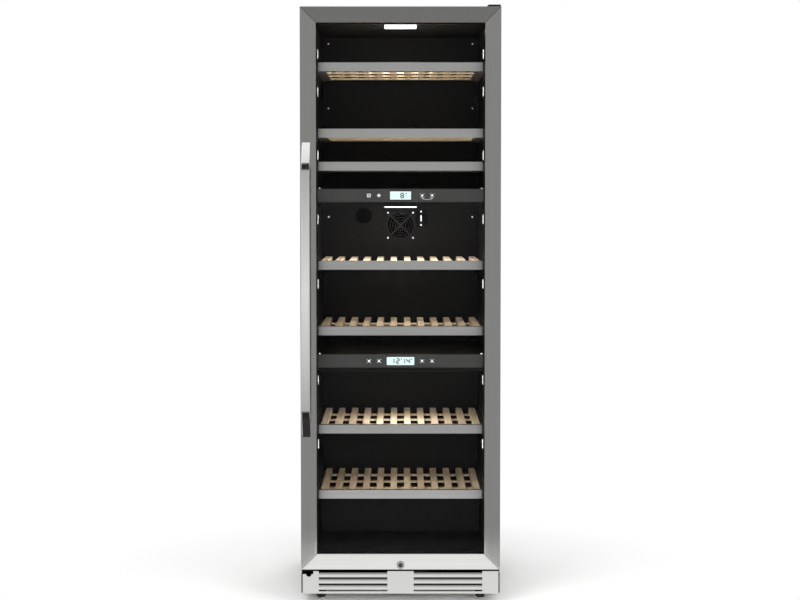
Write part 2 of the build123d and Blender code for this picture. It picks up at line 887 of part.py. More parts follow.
def handle_studs(clearance):
    x = -half_width + handle_inset + handle_width / 2
    studs = []
    for z in (handle_bottom + handle_stud_rise, handle_top - handle_stud_rise):
        studs.append(rod_y(x, door_front, door_front + handle_stud_length, z, handle_stud_radius + clearance))
    return studs


def frame_shell():
    # Stainless skin of the whole door frame: a front face and four outer walls
    shell = ring(half_width, door_bottom, door_top, opening_half, opening_bottom, opening_top,
                 door_front, door_rear)
    inside = half_width - door_skin
    shell -= block(-inside, inside, glazing_front, door_rear, door_bottom + door_skin, door_top - door_skin)
    for cut in [bush_bores(), lock_bore(), *handle_studs(running_clearance)]:
        shell -= cut
    return shell


def mitre_wedge(side, along_x):
    # The region that one frame member keeps, out to a 45 degree cut at each of its ends
    gap = mitre_gap / 2
    middle = (door_bottom + door_top) / 2
    reach = half_width
    half_tall = (door_top - door_bottom) / 2
    if along_x:
        outer = side * half_tall
        inner = side * (half_tall - reach)
        points = [(-reach + gap, outer), (reach - gap, outer), (gap, inner), (-gap, inner)]
    else:
        rise = half_tall - reach
        points = [
            (side * reach, half_tall - gap),
            (side * reach, -half_tall + gap),
            (0, -rise + gap),
            (0, rise - gap),
        ]
    outline = make_face(Polyline([*points, points[0]]))
    wedge = extrude(Plane.XZ * outline, amount=door_thickness, dir=(0, 1, 0))
    return Pos(0, door_front, middle) * wedge


def door_rails():
    shell = frame_shell()
    return [shell & mitre_wedge(side, True) for side in (1, -1)]


def door_stiles():
    shell = frame_shell()
    return [shell & mitre_wedge(side, False) for side in (-1, 1)]


def door_backing_frame():
    inside = half_width - door_skin
    low = door_bottom + door_skin
    high = door_top - door_skin
    body = ring(inside, low, high, opening_half + glass_overlap, opening_bottom - glass_overlap,
                opening_top + glass_overlap, glazing_front, door_rear)
    body += ring(inside, low, high, opening_half - backing_lip, opening_bottom + backing_lip,
                 opening_top - backing_lip, glazing_back, door_rear)
    for cut in [bush_bores(), lock_bore(), *handle_studs(running_clearance)]:
        body -= cut
    return body


def door_panes():
    half = opening_half + glass_overlap - pane_clearance
    low = opening_bottom - glass_overlap + pane_clearance
    high = opening_top + glass_overlap - pane_clearance
    panes = []
    for front in (glazing_front, glazing_back - pane_thickness):
        panes.append(block(-half, half, front, front + pane_thickness, low, high))
    return panes


def pane_spacer():
    edge = glass_overlap - pane_clearance - spacer_inset
    inner = edge - spacer_width
    front = glazing_front + pane_thickness
    return ring(opening_half + edge, opening_bottom - edge, opening_top + edge,
                opening_half + inner, opening_bottom - inner, opening_top + inner,
                front, front + pane_gap)


def door_gasket():
    inner = liner_half - gasket_overhang
    low = liner_floor + gasket_overhang
    high = ceiling - gasket_overhang
    return ring(inner + gasket_width, low - gasket_width, high + gasket_width, inner, low, high,
                door_rear, cabinet_front)


def handle_bar():
    left = -half_width + handle_inset
    slope_run = math.hypot(handle_slope, handle_reach)
    leg = handle_bar_thickness * slope_run / handle_reach
    grip_back = handle_front + handle_bar_thickness
    rise = (door_front - grip_back) * handle_slope / handle_reach
    outline = [
        (door_front, handle_top),
        (handle_front, handle_top - handle_slope),
        (handle_front, handle_bottom + handle_slope),
        (door_front, handle_bottom),
        (door_front, handle_bottom + leg),
        (grip_back, handle_bottom + leg + rise),
        (grip_back, handle_top - leg - rise),
        (door_front, handle_top - leg),
    ]
    bar = side_profile(outline, left, left + handle_width)
    cross = bar.edges().filter_by(Axis.X)
    bar = fillet(cross.group_by(Axis.Y)[0], handle_bend_radius + handle_bar_thickness)
    cross = bar.edges().filter_by(Axis.X)
    bar = fillet([edge for edge in cross if abs(edge.center().Y - grip_back) < part_clearance],
                 handle_bend_radius)
    sides = [edge for edge in bar.edges() if abs(edge.tangent_at(0.5).X) < 0.5]
    bar = fillet([edge for edge in sides if edge.center().Y < door_front - part_clearance],
                 handle_edge_radius)
    for stud in handle_studs(0):
        bar += stud
    return bar


def lock_barrel():
    barrel = rod_y(0, door_front, door_rear, lock_height, lock_body_radius)
    barrel += rod_y(0, door_front - lock_proud, door_front, lock_height, lock_face_radius)
    return barrel - rod_y(0, door_front - lock_proud, door_rear, lock_height, plug_radius + running_clearance)


def lock_cam():
    face = door_front - lock_proud - plug_proud
    cam_front = door_rear + cam_gap
    plug = rod_y(0, face, cam_front + cam_thickness, lock_height, plug_radius)
    plug -= block(-key_slot_width / 2, key_slot_width / 2, face, face + door_skin,
                  lock_height - key_slot_height / 2, lock_height + key_slot_height / 2)
    return plug + block(0, cam_length, cam_front, cam_front + cam_thickness,
                        lock_height - cam_width / 2, lock_height + cam_width / 2)


nodes = {
    "outer_cabinet": outer_cabinet(),
    "back_panel": back_panel(),
    "rear_grille": rear_grille(),
    "base_chassis": base_chassis(),
    "inner_liner": inner_liner(),
    "insulation_foam": insulation_foam(),
    "rear_duct_panels": rear_duct_panels(),
    "evaporators": evaporators(),
    "circulation_fan_frame": circulation_fan_frame(),
    "circulation_fan_rotor": circulation_fan_rotor(),
    "charcoal_filter": charcoal_filter(),
    "sensor_cover": sensor_cover(),
    "lamp_housings": lamp_housings(),
    "lamp_lenses": lamp_lenses(),
    "zone_dividers": zone_dividers(),
    "control_fascias": control_fascias(),
    "displays": displays(),
    "control_boards": control_boards(),
    "shelf_rails": shelf_rails(),
    "rail_end_caps": rail_end_caps(),
    "compressor": compressor(),
    "compressor_mounts": compressor_mounts(),
    "condenser": condenser(),
    "condenser_fan_frame": condenser_fan_frame(),
    "condenser_fan_rotor": condenser_fan_rotor(),
    "drain_tray": drain_tray(),
    "mains_inlet": mains_inlet(),
    "kick_grille": kick_grille(),
    "top_hinge": top_hinge(),
    "bottom_hinge": bottom_hinge(),
    "spare_hinge_plate": spare_hinge_plate(),
    "casing_screws": casing_screws(),
    "door_rails": door_rails(),
    "door_stiles": door_stiles(),
    "door_backing_frame": door_backing_frame(),
    "door_panes": door_panes(),
    "pane_spacer": pane_spacer(),
    "door_gasket": door_gasket(),
    "handle_bar": handle_bar(),
    "lock_barrel": lock_barrel(),
    "lock_cam": lock_cam(),
    "hinge_bushes": hinge_bushes(),
}
foot_names = ["foot_front_left", "foot_front_right", "foot_rear_left", "foot_rear_right"]
for name, (x, y) in zip(foot_names, foot_places()):
    nodes[name] = levelling_foot(x, y)
for number, level in enumerate(shelf_levels, start=1):
    nodes[f"shelf_{number}_frame"] = shelf_frame(level)
    nodes[f"shelf_{number}_slats"] = shelf_slats(level)

os.makedirs("parts", exist_ok=True)
for name, shape in nodes.items():
    if isinstance(shape, list):
        shape = Compound(children=shape)
    export_step(shape, f"parts/{name}.step")
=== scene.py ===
import bpy
import json
import math
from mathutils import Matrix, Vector


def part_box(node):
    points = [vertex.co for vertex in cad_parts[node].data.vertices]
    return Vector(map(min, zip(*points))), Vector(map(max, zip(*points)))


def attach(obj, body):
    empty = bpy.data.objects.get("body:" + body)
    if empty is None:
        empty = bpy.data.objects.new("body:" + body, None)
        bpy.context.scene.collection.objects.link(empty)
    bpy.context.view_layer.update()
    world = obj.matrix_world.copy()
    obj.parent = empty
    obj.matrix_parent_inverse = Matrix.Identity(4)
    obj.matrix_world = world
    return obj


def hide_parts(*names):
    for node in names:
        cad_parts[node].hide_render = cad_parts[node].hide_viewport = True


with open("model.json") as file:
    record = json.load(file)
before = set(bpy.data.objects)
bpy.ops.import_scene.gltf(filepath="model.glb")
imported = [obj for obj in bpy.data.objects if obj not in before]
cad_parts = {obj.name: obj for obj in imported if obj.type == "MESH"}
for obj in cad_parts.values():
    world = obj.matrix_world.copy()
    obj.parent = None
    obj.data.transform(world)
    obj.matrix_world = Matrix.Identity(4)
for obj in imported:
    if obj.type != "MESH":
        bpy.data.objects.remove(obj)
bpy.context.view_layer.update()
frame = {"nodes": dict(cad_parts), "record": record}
nodes = frame["nodes"]
record = frame["record"]
bodyOf = {node: body for body, members in record["behaviour"]["bodies"].items() for node in members}
mm = 0.001
print("frame loaded:", len(nodes), "nodes")


# Node helpers for the finishes; pattern scales are per metre

def startFinish(name, color, roughness, metallic=0.0, specular=0.5):
    material = bpy.data.materials.new(name)
    material.use_nodes = True
    shader = material.node_tree.nodes["Principled BSDF"]
    shader.inputs["Base Color"].default_value = (*color, 1)
    shader.inputs["Roughness"].default_value = roughness
    shader.inputs["Metallic"].default_value = metallic
    shader.inputs["Specular IOR Level"].default_value = specular
    return material, material.node_tree, shader


def placed(tree, scale):
    coord = tree.nodes.new("ShaderNodeTexCoord")
    mapping = tree.nodes.new("ShaderNodeMapping")
    mapping.inputs["Scale"].default_value = scale
    tree.links.new(coord.outputs["Object"], mapping.inputs["Vector"])
    return mapping.outputs["Vector"]


def even(perMetre):
    return [perMetre] * 3


def stretched(across, lengthwise, along):
    scale = even(across)
    scale["xyz".index(along)] = lengthwise
    return scale


def grain(tree, scale, detail=3.0, twist=0.0):
    noise = tree.nodes.new("ShaderNodeTexNoise")
    noise.inputs["Scale"].default_value = 1
    noise.inputs["Detail"].default_value = detail
    noise.inputs["Distortion"].default_value = twist
    tree.links.new(placed(tree, scale), noise.inputs["Vector"])
    return noise.outputs["Fac"]


def cells(tree, perMetre):
    voronoi = tree.nodes.new("ShaderNodeTexVoronoi")
    voronoi.inputs["Scale"].default_value = 1
    tree.links.new(placed(tree, even(perMetre)), voronoi.inputs["Vector"])
    return voronoi


def between(tree, factor, low, high, start=0.3, stop=0.7):
    span = tree.nodes.new("ShaderNodeMapRange")
    span.inputs["From Min"].default_value = start
    span.inputs["From Max"].default_value = stop
    span.inputs["To Min"].default_value = low
    span.inputs["To Max"].default_value = high
    tree.links.new(factor, span.inputs["Value"])
    return span.outputs["Result"]


def blendColor(tree, factor, dark, light):
    mix = tree.nodes.new("ShaderNodeMix")
    mix.data_type = "RGBA"
    mix.inputs[6].default_value = (*dark, 1)
    mix.inputs[7].default_value = (*light, 1)
    tree.links.new(factor, mix.inputs[0])
    return mix.outputs[2]


def shaded(color, share):
    return tuple(min(1.0, channel * share) for channel in color)


def vary(tree, shader, pattern, color, low, high):
    # Colour that follows a pattern between two shares of itself
    tone = blendColor(tree, between(tree, pattern, 0.0, 1.0), shaded(color, low), shaded(color, high))
    tree.links.new(tone, shader.inputs["Base Color"])


def roughen(tree, shader, pattern, low, high):
    tree.links.new(between(tree, pattern, low, high), shader.inputs["Roughness"])


def relief(tree, shader, height, strength, distance):
    bump = tree.nodes.new("ShaderNodeBump")
    bump.inputs["Strength"].default_value = strength
    bump.inputs["Distance"].default_value = distance
    tree.links.new(height, bump.inputs["Height"])
    tree.links.new(bump.outputs["Normal"], shader.inputs["Normal"])


def mixShaders(tree, share, first, second):
    mix = tree.nodes.new("ShaderNodeMixShader")
    tree.links.new(share, mix.inputs[0])
    tree.links.new(first, mix.inputs[1])
    tree.links.new(second, mix.inputs[2])
    tree.links.new(mix.outputs["Shader"], tree.nodes["Material Output"].inputs["Surface"])


# Finishes

def brushedSteel(name, color, along, rough):
    material, tree, shader = startFinish(name, color, rough[1], metallic=1.0)
    lines = grain(tree, stretched(across=1500.0, lengthwise=12.0, along=along), detail=2.0)
    streaks = grain(tree, stretched(across=420.0, lengthwise=3.0, along=along), detail=4.0)
    vary(tree, shader, streaks, color, low=0.96, high=1.03)
    roughen(tree, shader, lines, *rough)
    relief(tree, shader, lines, strength=0.05, distance=0.04 * mm)
    return material


def powderCoat(name, color, rough, specular):
    uneven = 0.02
    material, tree, shader = startFinish(name, color, rough, specular=specular)
    peel = grain(tree, even(420), detail=2.0)
    patches = grain(tree, even(9))
    vary(tree, shader, patches, color, low=0.94, high=1.07)
    roughen(tree, shader, patches, rough - uneven, rough + uneven)
    relief(tree, shader, peel, strength=0.16, distance=0.2 * mm)
    return material


def mouldedPlastic(name, color, rough, pitch, depth, specular):
    uneven = 0.05
    material, tree, shader = startFinish(name, color, rough, specular=specular)
    pebble = cells(tree, pitch).outputs["Distance"]
    flow = grain(tree, stretched(across=14, lengthwise=6, along="z"))
    vary(tree, shader, flow, color, low=0.88, high=1.12)
    roughen(tree, shader, flow, rough - uneven, rough + uneven)
    relief(tree, shader, pebble, strength=depth, distance=0.25 * mm)
    return material


def beechWood(name, look, along):
    material, tree, shader = startFinish(name, look["light"], look["rough"])
    rings = grain(tree, stretched(across=70.0, lengthwise=3.0, along=along), detail=4.0, twist=0.9)
    flecks = grain(tree, stretched(across=900.0, lengthwise=60.0, along=along), detail=2.0)
    tone = blendColor(tree, between(tree, rings, 0.0, 1.0), look["dark"], look["light"])
    pores = between(tree, flecks, 0.0, 1.0, start=0.25, stop=0.5)
    speck = tree.nodes.new("ShaderNodeMix")
    speck.data_type = "RGBA"
    speck.blend_type = "MULTIPLY"
    speck.inputs[0].default_value = look["poreShare"]
    tree.links.new(tone, speck.inputs[6])
    tree.links.new(blendColor(tree, pores, look["pore"], (1, 1, 1)), speck.inputs[7])
    tree.links.new(speck.outputs[2], shader.inputs["Base Color"])
    roughen(tree, shader, rings, look["darkRough"], look["rough"])
    relief(tree, shader, flecks, strength=0.2, distance=0.2 * mm)
    return material


def zincPlate(name, color):
    material, tree, shader = startFinish(name, color, roughness=0.4, metallic=0.85)
    spangle = cells(tree, perMetre=160.0).outputs["Color"]
    tone = blendColor(tree, spangle, shaded(color, 0.82), shaded(color, 1.12))
    tree.links.new(tone, shader.inputs["Base Color"])
    roughen(tree, shader, grain(tree, even(60)), low=0.32, high=0.5)
    return material


def softRubber(name, color):
    material, tree, shader = startFinish(name, color, roughness=0.7, specular=0.2)
    dust = grain(tree, even(40), detail=5.0)
    vary(tree, shader, dust, color, low=0.8, high=1.5)
    relief(tree, shader, grain(tree, even(1200)), strength=0.2, distance=0.2 * mm)
    return material


def polishedChrome(name, color):
    material, tree, shader = startFinish(name, color, roughness=0.12, metallic=1.0)
    wipes = grain(tree, even(300), detail=4.0)
    vary(tree, shader, wipes, color, low=0.9, high=1.05)
    roughen(tree, shader, wipes, low=0.08, high=0.22)
    return material


def paneGlass(name, tint, ior):
    # Clear to shadow rays, so that light reaches what stands behind the pane
    material, tree, shader = startFinish(name, tint, roughness=0.0)
    shader.inputs["Transmission Weight"].default_value = 1.0
    shader.inputs["IOR"].default_value = ior
    wipes = grain(tree, stretched(across=7, lengthwise=3, along="z"), detail=4.0)
    vary(tree, shader, wipes, tint, low=0.985, high=1.0)
    clear = tree.nodes.new("ShaderNodeBsdfTransparent")
    clear.inputs["Color"].default_value = (*tint, 1)
    path = tree.nodes.new("ShaderNodeLightPath")
    mixShaders(tree, path.outputs["Is Shadow Ray"], shader.outputs["BSDF"], clear.outputs["BSDF"])
    return material


def litPlastic(name, color, glow, strength, pitch):
    material, tree, shader = startFinish(name, color, roughness=0.35)
    shader.inputs["Emission Color"].default_value = (*glow, 1)
    shader.inputs["Emission Strength"].default_value = strength
    ribs = grain(tree, stretched(across=4, lengthwise=pitch, along="x"), detail=1.0)
    roughen(tree, shader, ribs, low=0.25, high=0.5)
    relief(tree, shader, ribs, strength=0.3, distance=0.4 * mm)
    return material


def circuitBoard(name, color):
    material, tree, shader = startFinish(name, color, roughness=0.4)
    tracks = cells(tree, perMetre=260.0).outputs["Distance"]
    vary(tree, shader, tracks, color, low=1.8, high=1.0)
    return material


# Steel tones per piece. The door's top rail is painted darker and its bottom rail painted lighter than the
# stiles: one steel in shaded and lit copies, painted shade and painted reflection
steelLook = {
    "stile": {"color": (0.61, 0.61, 0.585), "along": "z", "rough": (0.1, 0.18)},
    "topRail": {"color": (0.44, 0.44, 0.42), "along": "x", "rough": (0.24, 0.36)},
    "bottomRail": {"color": (0.78, 0.78, 0.75), "along": "x", "rough": (0.1, 0.18)},
    # The kick, handle and shelf strip steels are set lighter than the stiles, painted reflection
    "kick": {"color": (0.7, 0.7, 0.67), "along": "x", "rough": (0.18, 0.28)},
    "handle": {"color": (0.93, 0.93, 0.91), "along": "z", "rough": (0.16, 0.24)},
    "strip": {"color": (0.95, 0.95, 0.935), "along": "x", "rough": (0.28, 0.4)},
    "fin": {"color": (0.78, 0.78, 0.78), "along": "x", "rough": (0.24, 0.36)},
}
coatLook = {
    "casing": {"color": (0.018, 0.018, 0.02), "rough": 0.42, "specular": 0.4},
    "enamel": {"color": (0.018, 0.018, 0.02), "rough": 0.25, "specular": 0.4},
    "chassis": {"color": (0.007, 0.007, 0.0075), "rough": 0.5, "specular": 0.2},
    "hinge": {"color": (0.008, 0.008, 0.008), "rough": 0.6, "specular": 0.1},
    # The evaporator fins are black-coated, and made near black without sheen as painted shade behind the fan
    "coatedAndShadedFin": {"color": (0.0012, 0.0012, 0.0012), "rough": 0.8, "specular": 0.0},
    "bezel": {"color": (0.006, 0.006, 0.007), "rough": 0.2, "specular": 0.4},
}
plasticLook = {
    "liner": {"color": (0.006, 0.006, 0.0065), "rough": 0.42, "pitch": 700, "depth": 0.14, "specular": 0.2},
    "duct": {"color": (0.0046, 0.0046, 0.0045), "rough": 0.45, "pitch": 520, "depth": 0.2, "specular": 0.12},
    "fan": {"color": (0.003, 0.003, 0.0031), "rough": 0.45, "pitch": 900, "depth": 0.1, "specular": 0.08},
    # A lighter black for the fan guard's rings, painted highlight
    "guard": {"color": (0.014, 0.014, 0.0137), "rough": 0.4, "pitch": 900, "depth": 0.1, "specular": 0.12},
    # A black without sheen, painted shade in the fan's well, on its rotor and in the kick grille's slots
    "deep": {"color": (0.0012, 0.0012, 0.0012), "rough": 0.8, "pitch": 900, "depth": 0.1, "specular": 0.0},
    "filter": {"color": (0.0016, 0.0016, 0.0016), "rough": 0.6, "pitch": 900, "depth": 0.2, "specular": 0.05},
    "fascia": {"color": (0.027, 0.027, 0.026), "rough": 0.36, "pitch": 1100, "depth": 0.08, "specular": 0.3},
    "ink": {"color": (0.004, 0.007, 0.008), "rough": 0.5, "pitch": 700, "depth": 0.05, "specular": 0.1},
    "white": {"color": (0.9, 0.9, 0.885), "rough": 0.4, "pitch": 700, "depth": 0.14, "specular": 0.5},
    "foam": {"color": (0.72, 0.64, 0.42), "rough": 0.9, "pitch": 300, "depth": 0.5, "specular": 0.5},
}
litLook = {
    "lamp": {"color": (0.9, 0.92, 0.95), "glow": (0.97, 0.99, 1.0), "strength": 1.1, "pitch": 500},
    "display": {"color": (0.1, 0.12, 0.12), "glow": (0.74, 0.93, 0.91), "strength": 0.88, "pitch": 30},
    # The touch marks glow, painted light that makes them show bright
    "mark": {"color": (0.8, 0.8, 0.79), "glow": (0.95, 0.97, 1.0), "strength": 0.35, "pitch": 90},
}
woodLook = {
    "light": (0.7, 0.56, 0.39), "dark": (0.48, 0.35, 0.22), "pore": (0.5, 0.38, 0.28), "poreShare": 0.45,
    "rough": 0.5, "darkRough": 0.58,
}
glassLook = {"tint": (0.99, 0.993, 0.99), "ior": 1.08}
colorOf = {
    # The lock's chrome is darkened and its plug set near black, painted shade for the dark ring and keyway
    "zinc": (0.62, 0.62, 0.63), "chrome": (0.42, 0.42, 0.41), "plug": (0.07, 0.07, 0.069),
    "rubber": (0.009, 0.009, 0.009), "board": (0.03, 0.16, 0.07),
}
finish = {
    "stile": brushedSteel("stileSteel", **steelLook["stile"]),
    "topRail": brushedSteel("topRailSteel", **steelLook["topRail"]),
    "bottomRail": brushedSteel("bottomRailSteel", **steelLook["bottomRail"]),
    "kick": brushedSteel("kickSteel", **steelLook["kick"]),
    "handle": brushedSteel("handleSteel", **steelLook["handle"]),
    "strip": brushedSteel("stripSteel", **steelLook["strip"]),
    "zinc": zincPlate("zincPlate", colorOf["zinc"]),
    "slat": beechWood("beechSlat", woodLook, "y"),
    "bar": beechWood("beechBar", woodLook, "x"),
    "casing": powderCoat("blackCasing", **coatLook["casing"]),
    "chassis": powderCoat("blackChassis", **coatLook["chassis"]),
    "liner": mouldedPlastic("blackLiner", **plasticLook["liner"]),
    "duct": mouldedPlastic("blackDuct", **plasticLook["duct"]),
    "fan": mouldedPlastic("blackFan", **plasticLook["fan"]),
    "guard": mouldedPlastic("guardBlack", **plasticLook["guard"]),
    "deep": mouldedPlastic("deepBlack", **plasticLook["deep"]),
    "hinge": powderCoat("hingeBlack", **coatLook["hinge"]),
    "filter": mouldedPlastic("charcoalFilter", **plasticLook["filter"]),
    "fascia": mouldedPlastic("anthraciteFascia", **plasticLook["fascia"]),
    "white": mouldedPlastic("whitePlastic", **plasticLook["white"]),
    "rubber": softRubber("blackRubber", colorOf["rubber"]),
    "chrome": polishedChrome("lockChromePaintedShade", colorOf["chrome"]),
    "plug": polishedChrome("lockPlug", colorOf["plug"]),
    "coatedAndShadedFin": powderCoat("coatedAndShadedFin", **coatLook["coatedAndShadedFin"]),
    "fin": brushedSteel("finAluminium", **steelLook["fin"]),
    "enamel": powderCoat("compressorEnamel", **coatLook["enamel"]),
    "board": circuitBoard("circuitGreen", colorOf["board"]),
    "foam": mouldedPlastic("paleFoam", **plasticLook["foam"]),
    "glass": paneGlass("paneGlass", **glassLook),
    "lamp": litPlastic("lampLens", **litLook["lamp"]),
    "display": litPlastic("displayPanel", **litLook["display"]),
    "ink": mouldedPlastic("displayInk", **plasticLook["ink"]),
    "mark": litPlastic("printedMarkPaintedGlow", **litLook["mark"]),
    "bezel": powderCoat("displayBezel", **coatLook["bezel"]),
}
print("finishes made:", len(finish))


# Piece helpers; the angles are in degrees

rounding = {"merge": 0.01 * mm, "flatUnder": 0.5, "bevelOver": 40, "smoothUnder": 35, "faceWeight": 100}


def camel(nodeName):
    first, *rest = nodeName.split("_")
    return first + "".join(word.capitalize() for word in rest)


def pickOnly(piece):
    if bpy.context.object is not None and bpy.context.object.mode != "OBJECT":
        bpy.ops.object.mode_set(mode="OBJECT")
    bpy.ops.object.select_all(action="DESELECT")
    piece.select_set(True)
    bpy.context.view_layer.objects.active = piece


def dress(nodeName, finishName):
    mesh = nodes[nodeName].data
    mesh.materials.clear()
    mesh.materials.append(finish[finishName])


def seat(piece, name, body):
    piece.name = name
    piece.data.name = name
    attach(piece, body)
    return piece


def paint(piece, finishNames, choose):
    for finishName in finishNames:
        piece.data.materials.append(finish[finishName])
    for face in piece.data.polygons:
        face.material_index = choose(face.center, face.normal)


def smoothActive():
    bpy.ops.object.shade_smooth_by_angle(angle=math.radians(rounding["smoothUnder"]))


def softened(nodeName, finishNames, edge, segments=2, choose=lambda place, facing: 0):
    # A copy of the node with its sharp edges rounded, shown in the node's place
    piece = bpy.data.objects.new(camel(nodeName), nodes[nodeName].data.copy())
    bpy.context.scene.collection.objects.link(piece)
    piece.data.materials.clear()
    pickOnly(piece)
    bpy.ops.mesh.customdata_custom_splitnormals_clear()
    bpy.ops.object.mode_set(mode="EDIT")
    bpy.ops.mesh.select_all(action="SELECT")
    bpy.ops.mesh.remove_doubles(threshold=rounding["merge"])
    bpy.ops.mesh.dissolve_limited(angle_limit=math.radians(rounding["flatUnder"]))
    bpy.ops.object.mode_set(mode="OBJECT")
    paint(piece, finishNames, choose)
    bevel = piece.modifiers.new("softEdge", "BEVEL")
    bevel.width = edge
    bevel.segments = segments
    bevel.limit_method = "ANGLE"
    bevel.angle_limit = math.radians(rounding["bevelOver"])
    bevel.use_clamp_overlap = False
    bpy.ops.object.modifier_apply(modifier="softEdge")
    smoothActive()
    flat = piece.modifiers.new("flatFaces", "WEIGHTED_NORMAL")
    flat.weight = rounding["faceWeight"]
    flat.keep_sharp = True
    bpy.ops.object.modifier_apply(modifier="flatFaces")
    seat(piece, camel(nodeName), bodyOf[nodeName])
    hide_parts(nodeName)
    return piece


def joined(parts, name, body, finishName):
    pickOnly(parts[0])
    for part in parts:
        part.select_set(True)
    if len(parts) > 1:
        bpy.ops.object.join()
    piece = bpy.context.view_layer.objects.active
    bpy.ops.object.transform_apply(location=True, rotation=True, scale=True)
    piece.data.materials.clear()
    piece.data.materials.append(finish[finishName])
    smoothActive()
    return seat(piece, name, body)


def bevelActive(edge, segments=2):
    # Bevels every edge of the primitive that was just added
    bpy.ops.object.mode_set(mode="EDIT")
    bpy.ops.mesh.select_all(action="SELECT")
    bpy.ops.mesh.bevel(offset=edge, segments=segments, affect="EDGES")
    bpy.ops.object.mode_set(mode="OBJECT")
    return bpy.context.object


def roundedBlock(centre, size, edge, turn=0.0, segments=2):
    # A small block with bevelled edges, turned about Y
    bpy.ops.object.select_all(action="DESELECT")
    bpy.ops.mesh.primitive_cube_add(size=1, location=centre, rotation=(0, turn, 0))
    bpy.context.object.scale = size
    bpy.ops.object.transform_apply(location=False, rotation=False, scale=True)
    return bevelActive(edge, segments)


def prism(centre, radius, depth, sides, edge, turn=0.0):
    # A short prism along Y with bevelled rims
    bpy.ops.object.select_all(action="DESELECT")
    bpy.ops.mesh.primitive_cylinder_add(vertices=sides, radius=radius, depth=depth, location=centre,
                                        rotation=(math.pi / 2, turn, 0))
    return bevelActive(edge)


# Cabinet

def buildCabinet():
    edges = {
        "casing": 0.4 * mm, "panel": 0.3 * mm, "divider": 1.5 * mm, "duct": 0.7 * mm, "hinge": 0.7 * mm,
        "cap": 1.2 * mm, "guard": 0.3 * mm,
    }
    plain = {
        "base_chassis": "chassis", "inner_liner": "liner", "insulation_foam": "foam",
        "evaporators": "coatedAndShadedFin", "circulation_fan_rotor": "deep",
        "lamp_housings": "fan", "lamp_lenses": "lamp", "displays": "display", "control_boards": "board",
        "shelf_rails": "zinc", "compressor": "enamel", "compressor_mounts": "rubber",
        "condenser": "fin", "condenser_fan_frame": "fan", "condenser_fan_rotor": "fan",
        "drain_tray": "white", "mains_inlet": "fan",
    }
    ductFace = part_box("rear_duct_panels")[0].y
    guardLean = -0.2  # a face of the guard looks at least this much to the front

    # The guard's front faces take a lighter black, painted highlight on its rings; the well behind takes the
    # sheenless black, painted shade
    def litGuardOrShadedWell(place, facing):
        return 0 if place.y < ductFace and facing.y < guardLean else 1

    softened("outer_cabinet", ["casing"], edges["casing"])
    softened("back_panel", ["casing"], edges["panel"])
    softened("rear_grille", ["casing"], edges["panel"])
    for nodeName in ("top_hinge", "bottom_hinge", "spare_hinge_plate"):
        softened(nodeName, ["hinge"], edges["hinge"])
    softened("zone_dividers", ["duct"], edges["divider"])
    softened("rear_duct_panels", ["duct"], edges["duct"])
    softened("charcoal_filter", ["filter"], edges["duct"])
    softened("sensor_cover", ["fan"], edges["duct"])
    softened("rail_end_caps", ["white"], edges["cap"], segments=3)
    softened("control_fascias", ["fascia"], edges["panel"])
    softened("circulation_fan_frame", ["guard", "deep"], edges["guard"], choose=litGuardOrShadedWell)
    for nodeName, finishName in plain.items():
        dress(nodeName, finishName)
    print("cabinet dressed")


# Kick grille and feet

def buildKick():
    low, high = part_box("kick_grille")
    kick = {"edge": 0.35 * mm, "rim": 3.0 * mm, "sheet": 6.0 * mm, "level": 0.9}

    # Faces inside the slots take the sheenless black, painted shade in the recesses
    def faceOrShadedSlot(place, facing):
        within = low.z + kick["rim"] < place.z < high.z - kick["rim"] / 2
        return 1 if within and abs(facing.z) > kick["level"] and place.y < low.y + kick["sheet"] else 0

    softened("kick_grille", ["kick", "deep"], kick["edge"], choose=faceOrShadedSlot)
    print("kick grille dressed")


def buildFeet():
    foot = {
        "height": 20.0 * mm, "taper": 2.5 * mm, "rim": 1.75 * mm, "rimSegments": 4, "sides": 48,
        "stud": 5.0 * mm, "studEdge": 0.8 * mm, "studSides": 24,
    }
    for nodeName in ("foot_front_left", "foot_front_right", "foot_rear_left", "foot_rear_right"):
        low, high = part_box(nodeName)
        centre = (low + high) / 2
        topRadius = (high.x - low.x) / 2
        bpy.ops.object.select_all(action="DESELECT")
        bpy.ops.mesh.primitive_cone_add(vertices=foot["sides"], depth=foot["height"],
                                        radius1=topRadius - foot["taper"], radius2=topRadius,
                                        location=(centre.x, centre.y, foot["height"] / 2))
        pad = bevelActive(foot["rim"], foot["rimSegments"])
        bpy.ops.object.select_all(action="DESELECT")
        bpy.ops.mesh.primitive_cylinder_add(vertices=foot["studSides"], radius=foot["stud"],
                                            depth=high.z - foot["height"],
                                            location=(centre.x, centre.y, (high.z + foot["height"]) / 2))
        stud = bevelActive(foot["studEdge"])
        piece = joined([pad, stud], camel(nodeName), bodyOf[nodeName], "rubber")
        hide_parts(nodeName)
    print("feet made")


# Door

def buildDoor():
    edges = {
        "frame": 0.9 * mm, "handle": 0.4 * mm, "gasket": 3.0 * mm, "backing": 0.6 * mm, "barrel": 0.8 * mm,
        "cam": 0.25 * mm,
    }
    low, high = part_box("door_rails")
    middle = (low.z + high.z) / 2

    # Upper rail faces take the painted-shade steel, lower rail faces the painted-light steel
    def shadedTopOrLitBottom(place, facing):
        return 0 if place.z > middle else 1

    softened("door_stiles", ["stile"], edges["frame"])
    softened("door_rails", ["topRail", "bottomRail"], edges["frame"], choose=shadedTopOrLitBottom)
    softened("handle_bar", ["handle"], edges["handle"])
    softened("door_gasket", ["rubber"], edges["gasket"], segments=4)
    softened("door_backing_frame", ["liner"], edges["backing"])
    softened("lock_barrel", ["chrome"], edges["barrel"], segments=3)
    softened("lock_cam", ["plug"], edges["cam"])
    dress("door_panes", "glass")
    dress("pane_spacer", "bezel")
    dress("hinge_bushes", "white")
    print("door dressed")


# Shelves

